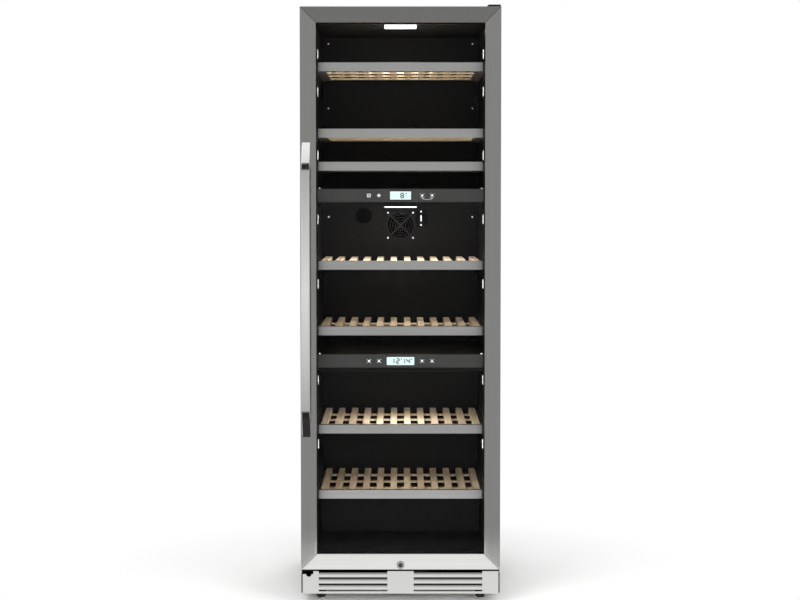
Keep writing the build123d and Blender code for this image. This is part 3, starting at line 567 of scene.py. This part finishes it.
def buildShelves():
    shelf = {
        "count": 7, "stripEdge": 0.7 * mm, "slatEdge": 1.2 * mm, "stripDepth": 15.0 * mm,
        "slatBottom": 19.5 * mm, "slack": 0.1 * mm, "level": 0.5,
    }
    for number in range(1, shelf["count"] + 1):
        low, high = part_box(f"shelf_{number}_frame")
        behind = low.y + shelf["stripDepth"]
        seam = high.z - shelf["slatBottom"]

        def stripOrRunner(place, facing):
            return 1 if place.y > behind else 0

        def slatOrBar(place, facing):
            under = place.z < seam - shelf["slack"]
            barTop = place.z < seam + shelf["slack"] and facing.z > shelf["level"]
            return 1 if under or barTop else 0

        softened(f"shelf_{number}_frame", ["strip", "zinc"], shelf["stripEdge"], 3, stripOrRunner)
        softened(f"shelf_{number}_slats", ["slat", "bar"], shelf["slatEdge"], 2, slatOrBar)
    print("shelves dressed")


# Screws

def screwHead(radius, height):
    # A domed head along Y with a cross recess, facing -Y; the shares are of its radius
    share = {"dome": 0.22, "slotLength": 1.1, "slotWidth": 0.28, "slotEdge": 0.03}
    sides = 24
    head = prism((0, 0, 0), radius, height, sides, radius * share["dome"])
    slotSize = (radius * share["slotLength"], height, radius * share["slotWidth"])
    for turn in (0.0, math.pi / 2):
        cutter = roundedBlock((0, -height / 2, 0), slotSize, radius * share["slotEdge"], turn)
        pickOnly(head)
        cut = head.modifiers.new("recess", "BOOLEAN")
        cut.operation = "DIFFERENCE"
        cut.object = cutter
        bpy.ops.object.modifier_apply(modifier="recess")
        bpy.data.objects.remove(cutter)
    pickOnly(head)
    bpy.ops.object.transform_apply(location=True, rotation=True, scale=True)
    return head


def screwRow(places, radius, height, facing):
    # Copies of one head, each standing on the plane given by its place
    pattern = screwHead(radius, height)
    heads = []
    for place in places:
        head = bpy.data.objects.new("screwHead", pattern.data.copy())
        bpy.context.scene.collection.objects.link(head)
        head.rotation_euler = (0, 0, 0 if facing < 0 else math.pi)
        head.location = Vector(place) + Vector((0, facing * height / 2, 0))
        heads.append(head)
    bpy.data.objects.remove(pattern)
    return heads


def buildCasingScrews():
    screw = {
        "radius": 4.0 * mm, "ductRadius": 2.6 * mm, "height": 2.5 * mm, "inset": 19.0 * mm, "perRow": 4,
        "dividerThickness": 50.0 * mm,
    }
    inset = screw["inset"]
    low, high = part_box("back_panel")
    ductLow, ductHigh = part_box("rear_duct_panels")
    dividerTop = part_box("zone_dividers")[1].z
    places = []
    for index in range(screw["perRow"]):
        x = low.x + inset + (high.x - low.x - 2 * inset) * index / (screw["perRow"] - 1)
        places += [(x, high.y, low.z + inset), (x, high.y, high.z - inset)]
    heads = screwRow(places, screw["radius"], screw["height"], 1)
    upperUnder = dividerTop - screw["dividerThickness"]
    levels = [(dividerTop + ductHigh.z) / 2 + inset, ductHigh.z - inset, upperUnder - 2 * inset]
    side = ductHigh.x - inset
    places = [(x, ductLow.y, z) for z in levels for x in (-side, side)]
    heads += screwRow(places, screw["ductRadius"], screw["height"], -1)
    piece = joined(heads, "casingScrews", "cabinet", "zinc")
    # The duct's screw heads are white, a painted highlight on the heads
    piece.data.materials.append(finish["white"])
    for face in piece.data.polygons:
        face.material_index = 1 if face.center.y < ductHigh.y else 0
    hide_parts("casing_screws")
    print("casing screws placed")


def buildDuctTrim():
    screw = {
        "radius": 2.6 * mm, "height": 1.6 * mm, "guardReach": 41.25 * mm, "guardDepth": 1.8 * mm,
        "sensorReach": 22.0 * mm,
    }
    probe = {"size": (3.4 * mm, 1.6 * mm, 20.0 * mm), "edge": 0.5 * mm, "proud": 0.4 * mm}
    fanLow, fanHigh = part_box("circulation_fan_frame")
    fan = (fanLow + fanHigh) / 2
    sensorLow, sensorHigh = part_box("sensor_cover")
    sensor = (sensorLow + sensorHigh) / 2
    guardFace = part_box("rear_duct_panels")[0].y - screw["guardDepth"]
    corners = (-screw["guardReach"], screw["guardReach"])
    places = [(fan.x + dx, guardFace, fan.z + dz) for dx in corners for dz in corners]
    for dz in (-screw["sensorReach"], screw["sensorReach"]):
        places.append((sensor.x, sensorLow.y, sensor.z + dz))
    heads = screwRow(places, screw["radius"], screw["height"], -1)
    # These screw heads are white, a painted highlight on them
    joined(heads, "ductTrimScrewsPaintedHighlight", "cabinet", "white")
    centre = (sensor.x, sensorLow.y - probe["proud"], sensor.z)
    block = roundedBlock(centre, probe["size"], probe["edge"])
    joined([block], "sensorProbe", "cabinet", "white")
    print("duct trim placed")


# Displays and touch marks

fasciaHeight = 40.0 * mm
markThickness = 0.4 * mm
segmentsOf = {"1": "bc", "2": "abged", "4": "fgbc", "8": "abcdefg"}
figureSize = {
    "width": 8.5 * mm, "height": 13.5 * mm, "bar": 3.2 * mm, "shorter": 0.6, "thickness": 0.3 * mm,
    "edge": 0.1 * mm, "dotRise": 6.0 * mm, "dotSides": 16, "dotEdge": 0.08 * mm,
}


def digitBars(digit, x, y, z):
    # Seven-segment figure on the plane y, with its centre at x, z
    width, height, bar = figureSize["width"], figureSize["height"], figureSize["bar"]
    thickness = figureSize["thickness"]
    places = {
        "a": (0, height / 2, False), "g": (0, 0, False), "d": (0, -height / 2, False),
        "f": (-width / 2, height / 4, True), "b": (width / 2, height / 4, True),
        "e": (-width / 2, -height / 4, True), "c": (width / 2, -height / 4, True),
    }
    parts = []
    for name in segmentsOf[digit]:
        dx, dz, upright = places[name]
        length = (height / 2 if upright else width) - bar * figureSize["shorter"]
        size = (bar, thickness, length) if upright else (length, thickness, bar)
        parts.append(roundedBlock((x + dx, y, z + dz), size, figureSize["edge"]))
    return parts


def degreeDot(x, y, z, radius):
    centre = (x, y, z + figureSize["dotRise"])
    return prism(centre, radius, figureSize["thickness"], figureSize["dotSides"], figureSize["dotEdge"])


def arrowMark(x, y, z, upward):
    # A triangle with four short bars round it
    arrow = {"radius": 4.2 * mm, "edge": 0.15 * mm, "barX": 5.0 * mm, "barZ": 4.8 * mm, "barEdge": 0.12 * mm}
    barSize = (2.4 * mm, markThickness, 1.1 * mm)
    sides = 3
    turn = math.pi if upward else 0.0
    parts = [prism((x, y, z), arrow["radius"], markThickness, sides, arrow["edge"], turn)]
    for dx in (-1, 1):
        for dz in (-1, 1):
            spot = (x + dx * arrow["barX"], y, z + dz * arrow["barZ"])
            parts.append(roundedBlock(spot, barSize, arrow["barEdge"], dx * dz * math.pi / 4))
    return parts


def squareMark(x, y, z):
    # A square outline with a slanted bar inside
    square = {"reach": 4.2 * mm, "line": 1.2 * mm, "edge": 0.15 * mm}
    slantSize = (3.6 * mm, markThickness, 1.0 * mm)
    reach, line, edge = square["reach"], square["line"], square["edge"]
    parts = []
    for offset in (-reach, reach):
        parts.append(roundedBlock((x + offset, y, z), (line, markThickness, 2 * reach + line), edge))
        parts.append(roundedBlock((x, y, z + offset), (2 * reach, markThickness, line), edge))
    parts.append(roundedBlock((x, y, z), slantSize, edge, math.pi / 4))
    return parts


def lampMark(x, y, z):
    # A disc with rays
    lamp = {"radius": 2.6 * mm, "sides": 16, "edge": 0.12 * mm, "rays": 8, "reach": 4.8 * mm}
    raySize = (2.4 * mm, markThickness, 0.9 * mm)
    parts = [prism((x, y, z), lamp["radius"], markThickness, lamp["sides"], lamp["edge"])]
    for index in range(lamp["rays"]):
        angle = index * 2 * math.pi / lamp["rays"]
        spot = (x + lamp["reach"] * math.cos(angle), y, z + lamp["reach"] * math.sin(angle))
        parts.append(roundedBlock(spot, raySize, lamp["edge"], -angle))
    return parts


def bracketMark(x, y, z):
    # A shallow arc of short bars under two keys
    arc = {"reach": 15.0 * mm, "flatness": 0.32, "bars": 9, "edge": 0.1 * mm}
    barSize = (4.4 * mm, markThickness, 0.6 * mm)
    parts = []
    for index in range(arc["bars"]):
        angle = math.pi * (1 + index / (arc["bars"] - 1))
        rise = arc["flatness"] * arc["reach"] * math.sin(angle)
        lean = math.atan2(arc["flatness"] * math.cos(angle), -math.sin(angle))
        spot = (x + arc["reach"] * math.cos(angle), y, z + rise)
        parts.append(roundedBlock(spot, barSize, arc["edge"], -lean))
    return parts


def buildFigures(front, upper, lower):
    ahead = 0.15 * mm
    single = {"digit": "8", "x": 5.0 * mm, "dotX": 17.0 * mm, "dotRadius": 1.9 * mm, "dashDrop": 1.0 * mm}
    dashSize = (3.2 * mm, figureSize["thickness"], 1.2 * mm)
    double = {
        "digits": (("1", -24.0 * mm), ("2", -8.0 * mm), ("1", 8.0 * mm), ("4", 23.0 * mm)),
        "dots": (2.5 * mm, 33.5 * mm), "dotRadius": 1.7 * mm,
    }
    ink = front - ahead
    figures = digitBars(single["digit"], single["x"], ink, upper)
    figures.append(degreeDot(single["dotX"], ink, upper, single["dotRadius"]))
    dashPlace = (single["dotX"], ink, upper - single["dashDrop"])
    figures.append(roundedBlock(dashPlace, dashSize, figureSize["dotEdge"]))
    joined(figures, "upperFigures", "cabinet", "ink")
    figures = []
    for digit, x in double["digits"]:
        figures += digitBars(digit, x, ink, lower)
    for x in double["dots"]:
        figures.append(degreeDot(x, ink, lower, double["dotRadius"]))
    joined(figures, "lowerFigures", "cabinet", "ink")
    print("figures made")


def buildKeys(front, upper, lower):
    keys = {"outer": 95.0 * mm, "inner": 65.0 * mm, "ahead": 0.1 * mm, "arcDrop": 7.0 * mm}
    outer, inner = keys["outer"], keys["inner"]
    y = front - keys["ahead"]
    symbols = squareMark(-outer, y, upper) + lampMark(-inner, y, upper)
    symbols += arrowMark(inner, y, upper, True) + arrowMark(outer, y, upper, False)
    symbols += bracketMark((inner + outer) / 2, y, upper - keys["arcDrop"])
    joined(symbols, "upperKeys", "cabinet", "mark")
    symbols = []
    for x, upward in ((-outer, True), (-inner, False), (inner, True), (outer, False)):
        symbols += arrowMark(x, y, lower, upward)
    joined(symbols, "lowerKeys", "cabinet", "mark")
    print("keys marked")


def displayRim(centre, width, rim):
    bpy.ops.object.select_all(action="DESELECT")
    bpy.ops.mesh.primitive_plane_add(size=1, location=centre, rotation=(math.pi / 2, 0, 0))
    piece = bpy.context.object
    piece.scale = (width + 2 * rim["band"], rim["height"] + 2 * rim["band"], 1)
    bpy.ops.object.transform_apply(location=True, rotation=True, scale=True)
    bpy.ops.object.mode_set(mode="EDIT")
    bpy.ops.mesh.select_all(action="SELECT")
    bpy.ops.mesh.inset(thickness=rim["band"])
    bpy.ops.mesh.delete(type="FACE")
    bpy.ops.mesh.select_all(action="SELECT")
    bpy.ops.mesh.extrude_region_move(TRANSFORM_OT_translate={"value": (0, rim["depth"], 0)})
    bpy.ops.mesh.select_all(action="SELECT")
    bpy.ops.mesh.normals_make_consistent(inside=False)
    bpy.ops.object.mode_set(mode="OBJECT")
    return piece


def buildRims(front, upper, lower):
    rim = {
        "upperWidth": 63.0 * mm, "height": 24.5 * mm, "band": 2.2 * mm, "depth": 0.5 * mm, "ahead": 0.4 * mm,
    }
    low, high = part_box("displays")
    y = front - rim["ahead"]
    rims = [displayRim((0, y, upper), rim["upperWidth"], rim)]
    rims.append(displayRim((0, y, lower), high.x - low.x, rim))
    joined(rims, "displayRims", "cabinet", "bezel")
    print("display rims made")


def buildStops(fasciaLow, fasciaHigh):
    stop = {"x": 243.5 * mm, "size": 5.0 * mm, "edge": 1.4 * mm, "segments": 3, "behind": 4.0 * mm}
    fasciaLip = 1.5 * mm  # how far a fascia stands over its divider
    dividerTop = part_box("zone_dividers")[1].z
    stops = []
    for level in (dividerTop, fasciaLow.z + fasciaHeight - fasciaLip):
        for x in (-stop["x"], stop["x"]):
            centre = (x, fasciaHigh.y + stop["behind"], level + stop["size"] / 2)
            stops.append(roundedBlock(centre, (stop["size"],) * 3, stop["edge"], segments=stop["segments"]))
    joined(stops, "dividerStops", "cabinet", "white")
    print("divider stops placed")


def buildControls():
    low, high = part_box("control_fascias")
    upper = high.z - fasciaHeight / 2
    lower = low.z + fasciaHeight / 2
    buildFigures(low.y, upper, lower)
    buildKeys(low.y, upper, lower)
    buildRims(low.y, upper, lower)
    buildStops(low, high)


# Studio

def maths(tree, operation, first, second):
    node = tree.nodes.new("ShaderNodeMath")
    node.operation = operation
    tree.links.new(first, node.inputs[0])
    if isinstance(second, float):
        node.inputs[1].default_value = second
    else:
        tree.links.new(second, node.inputs[1])
    return node.outputs[0]


def gripShade(tree, path, place):
    # The patch of floor that the low end of the grip mirrors, told from others by the ray's length
    shade = {"side": 0.6, "ahead": 0.34, "behind": 0.34, "shorter": 0.078, "longer": 0.25, "grey": 0.028}
    low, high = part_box("handle_bar")
    spans = (
        (place.outputs["X"], low.x - shade["side"], high.x + shade["side"]),
        (place.outputs["Y"], low.y - shade["ahead"], low.y + shade["behind"]),
        (path.outputs["Ray Length"], low.z - shade["shorter"], low.z + shade["longer"]),
    )
    share = path.outputs["Is Glossy Ray"]
    for value, least, most in spans:
        share = maths(tree, "MULTIPLY", share, maths(tree, "GREATER_THAN", value, least))
        share = maths(tree, "MULTIPLY", share, maths(tree, "LESS_THAN", value, most))
    return between(tree, share, 1.0, shade["grey"], 0.0, 1.0)


def studioFloor():
    # The shadow shows near the object, and further out the floor is plain white to the camera
    look = {"size": 60.0, "color": (0.86, 0.86, 0.85), "roughness": 0.9, "fade": (0.38, 1.05)}
    bpy.ops.object.select_all(action="DESELECT")
    bpy.ops.mesh.primitive_plane_add(size=look["size"], location=(0, 0, 0))
    floor = bpy.context.object
    floor.name = "studioFloor"
    material, tree, shader = startFinish("paleFloor", look["color"], look["roughness"])
    path = tree.nodes.new("ShaderNodeLightPath")
    seen = maths(tree, "MAXIMUM", path.outputs["Is Camera Ray"], path.outputs["Is Transmission Ray"])
    coord = tree.nodes.new("ShaderNodeTexCoord")
    reach = tree.nodes.new("ShaderNodeVectorMath")
    reach.operation = "LENGTH"
    tree.links.new(coord.outputs["Object"], reach.inputs[0])
    lift = between(tree, reach.outputs["Value"], 0.0, 1.0, *look["fade"])
    share = maths(tree, "MAXIMUM", maths(tree, "MULTIPLY", seen, lift), path.outputs["Is Glossy Ray"])
    white = tree.nodes.new("ShaderNodeEmission")
    white.inputs["Color"].default_value = (1, 1, 1, 1)
    place = tree.nodes.new("ShaderNodeSeparateXYZ")
    tree.links.new(coord.outputs["Object"], place.inputs["Vector"])
    tree.links.new(gripShade(tree, path, place), white.inputs["Strength"])
    mixShaders(tree, share, shader.outputs["BSDF"], white.outputs["Emission"])
    floor.data.materials.append(material)


def cardFinish(name, greys, near=None):
    # Grey by height, and there only for rays that a surface has reflected, from nearer than a limit if given
    material = bpy.data.materials.new(name)
    material.use_nodes = True
    tree = material.node_tree
    tree.nodes.remove(tree.nodes["Principled BSDF"])
    glow = tree.nodes.new("ShaderNodeEmission")
    coord = tree.nodes.new("ShaderNodeTexCoord")
    split = tree.nodes.new("ShaderNodeSeparateXYZ")
    tree.links.new(coord.outputs["Object"], split.inputs["Vector"])
    ramp = tree.nodes.new("ShaderNodeFloatCurve")
    curve = ramp.mapping.curves[0]
    top = greys[-1][0]
    curve.points[0].location = (0.0, greys[0][1])
    curve.points[1].location = (1.0, greys[-1][1])
    for height, grey in greys[1:-1]:
        curve.points.new(height / top, grey)
    for point in curve.points:
        point.handle_type = "VECTOR"
    ramp.mapping.update()
    tree.links.new(between(tree, split.outputs["Z"], 0.0, 1.0, 0.0, top), ramp.inputs["Value"])
    tree.links.new(ramp.outputs["Value"], glow.inputs["Strength"])
    path = tree.nodes.new("ShaderNodeLightPath")
    shows = maths(tree, "GREATER_THAN", path.outputs["Glossy Depth"], 0.5)
    if near is not None:
        shows = maths(tree, "MULTIPLY", shows, maths(tree, "LESS_THAN", path.outputs["Ray Length"], near))
    clear = tree.nodes.new("ShaderNodeBsdfTransparent")
    mixShaders(tree, shows, clear.outputs["BSDF"], glow.outputs["Emission"])
    return material


def oblong(low, high):
    # Corners of an upright oblong
    return [low, (high[0], low[1], low[2]), high, (low[0], high[1], high[2])]


def studioCard(name, corners, material):
    # A flat card seen only in reflections
    mesh = bpy.data.meshes.new(name)
    mesh.from_pydata(corners, [], [range(len(corners))])
    card = bpy.data.objects.new(name, mesh)
    bpy.context.scene.collection.objects.link(card)
    card.visible_camera = False
    card.visible_diffuse = False
    card.visible_shadow = False
    card.data.materials.append(material)


def doorCard():
    # A tall card in front of the door, short of the floor so that the low rail sees white
    card = {"place": -0.88, "width": 4.4, "foot": 0.06, "top": 2.6, "grey": 0.36}
    side = card["width"] / 2
    grey = cardFinish("greyCard", [(0.0, card["grey"]), (card["top"], card["grey"])])
    corners = oblong((-side, card["place"], card["foot"]), (side, card["place"], card["top"]))
    studioCard("doorCard", corners, grey)


def legCards():
    # Two low cards for the feet of the stiles, cut along the mitres
    leg = {
        "place": -0.42,
        "near": 0.19,
        "outline": [(0.305, 0.072), (0.26, 0.117), (0.26, 0.4), (0.7, 0.4), (0.7, 0.03)],
        "greys": [(0.0, 0.6), (0.07, 0.6), (0.117, 0.57), (0.14, 0.5),
                  (0.165, 0.41), (0.2, 0.36), (0.4, 0.36)],
    }
    grey = cardFinish("legCard", leg["greys"], leg["near"])
    for name, side in (("legLeft", -1), ("legRight", 1)):
        studioCard(name, [(side * x, leg["place"], z) for x, z in leg["outline"]], grey)


def handleCard():
    # A pale strip close in front of the grip, dark beyond both bends
    grip = {
        "gap": 25 * mm, "right": 20 * mm, "left": 70 * mm, "near": 74 * mm, "drop": 30 * mm, "over": 5 * mm,
        "lowBend": 62 * mm, "highBend": 71 * mm, "lowFade": 10 * mm, "highFade": 1 * mm,
        "dim": 0.42, "soft": 0.6, "pale": 0.74, "dark": 0.02,
    }
    low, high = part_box("handle_bar")
    bendLow = low.z + grip["lowBend"]
    bendHigh = high.z - grip["highBend"]
    top = high.z + grip["over"]
    quarter = (bendHigh - bendLow) / 4
    greys = [
        (0.0, grip["dark"]),
        (bendLow, grip["dark"]),
        (bendLow + grip["lowFade"], grip["dim"]),
        (bendLow + quarter, grip["soft"]),
        (bendLow + 2 * quarter, grip["pale"]),
        (bendHigh - quarter, grip["soft"]),
        (bendHigh, grip["dim"]),
        (bendHigh + grip["highFade"], grip["dark"]),
        (top, grip["dark"]),
    ]
    front = low.y - grip["gap"]
    left = low.x - grip["left"]
    right = high.x + grip["right"]
    corners = oblong((left, front, low.z - grip["drop"]), (right, front, top))
    studioCard("gripStrip", corners, cardFinish("gripCard", greys, grip["near"]))


def softLight(name, place, aim, size, power):
    data = bpy.data.lights.new(name, "AREA")
    data.shape = "SQUARE"
    data.size = size
    data.energy = power
    light = bpy.data.objects.new(name, data)
    bpy.context.scene.collection.objects.link(light)
    light.location = place
    light.visible_camera = False
    light.visible_glossy = False
    light.visible_transmission = False
    light.rotation_euler = (Vector(aim) - Vector(place)).to_track_quat("-Z", "Y").to_euler()


def studioLights():
    lights = {
        "keyLight": {"place": (-2.4, -3.4, 3.4), "aim": (0, 0, 0.9), "size": 2.6, "power": 150},
        "fillLight": {"place": (2.8, -2.8, 2.4), "aim": (0, 0, 0.9), "size": 2.4, "power": 90},
        "backLight": {"place": (0.6, 3.6, 3.0), "aim": (0, 0, 0.9), "size": 2.4, "power": 80},
        "lowLight": {"place": (0, -3.6, 0.4), "aim": (0, 0, 1.3), "size": 1.0, "power": 125},
        "frontLight": {"place": (0, -4.2, 1.7), "aim": (0, 0, 0.9), "size": 1.4, "power": 45},
    }
    for name, light in lights.items():
        softLight(name, **light)


def lampGlows():
    # Light under the lamps inside, aimed at the rear wall
    lampLow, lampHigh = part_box("lamp_lenses")
    dividerLow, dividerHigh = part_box("zone_dividers")
    glows = {
        "ceilingGlow": {"level": lampHigh.z, "below": 0.3, "power": 2.0},
        "middleGlow": {"level": lampLow.z, "below": 0.18, "power": 5.0},
        "lowerGlow": {"level": dividerLow.z, "below": 0.3, "power": 1.5},
    }
    size = 0.08
    drop = 12 * mm
    lampY = (lampLow.y + lampHigh.y) / 2
    for name, glow in glows.items():
        aim = (0, dividerHigh.y, glow["level"] - glow["below"])
        softLight(name, (0, lampY, glow["level"] - drop), aim, size, glow["power"])


def studioWorld():
    fill = 0.45  # the light that the white world gives
    world = bpy.data.worlds.new("studioWorld")
    bpy.context.scene.world = world
    world.use_nodes = True
    tree = world.node_tree
    background = tree.nodes["Background"]
    background.inputs["Color"].default_value = (1, 1, 1, 1)
    path = tree.nodes.new("ShaderNodeLightPath")
    seen = maths(tree, "MAXIMUM", path.outputs["Is Camera Ray"], path.outputs["Is Glossy Ray"])
    seen = maths(tree, "MAXIMUM", seen, path.outputs["Is Transmission Ray"])
    tree.links.new(between(tree, seen, fill, 1.0, 0.0, 1.0), background.inputs["Strength"])


def buildStudio():
    studioFloor()
    doorCard()
    legCards()
    handleCard()
    studioWorld()
    studioLights()
    lampGlows()
    bpy.context.scene.view_settings.view_transform = "Standard"
    print("studio lit")


def buildCamera():
    shot = {"place": (-0.0016, -5.29, 1.2085), "tilt": 2.55, "lens": 75.92, "sensor": 36.0, "shift": -0.033}
    data = bpy.data.cameras.new("photoCamera")
    data.lens = shot["lens"]
    data.sensor_width = shot["sensor"]
    data.shift_y = shot["shift"]
    camera = bpy.data.objects.new("photoCamera", data)
    bpy.context.scene.collection.objects.link(camera)
    camera.location = shot["place"]
    camera.rotation_euler = (math.radians(90 - shot["tilt"]), 0, 0)
    bpy.context.scene.camera = camera
    print("camera set")


buildCabinet()
buildKick()
buildFeet()
buildDoor()
buildShelves()
buildCasingScrews()
buildDuctTrim()
buildControls()
buildStudio()
buildCamera()
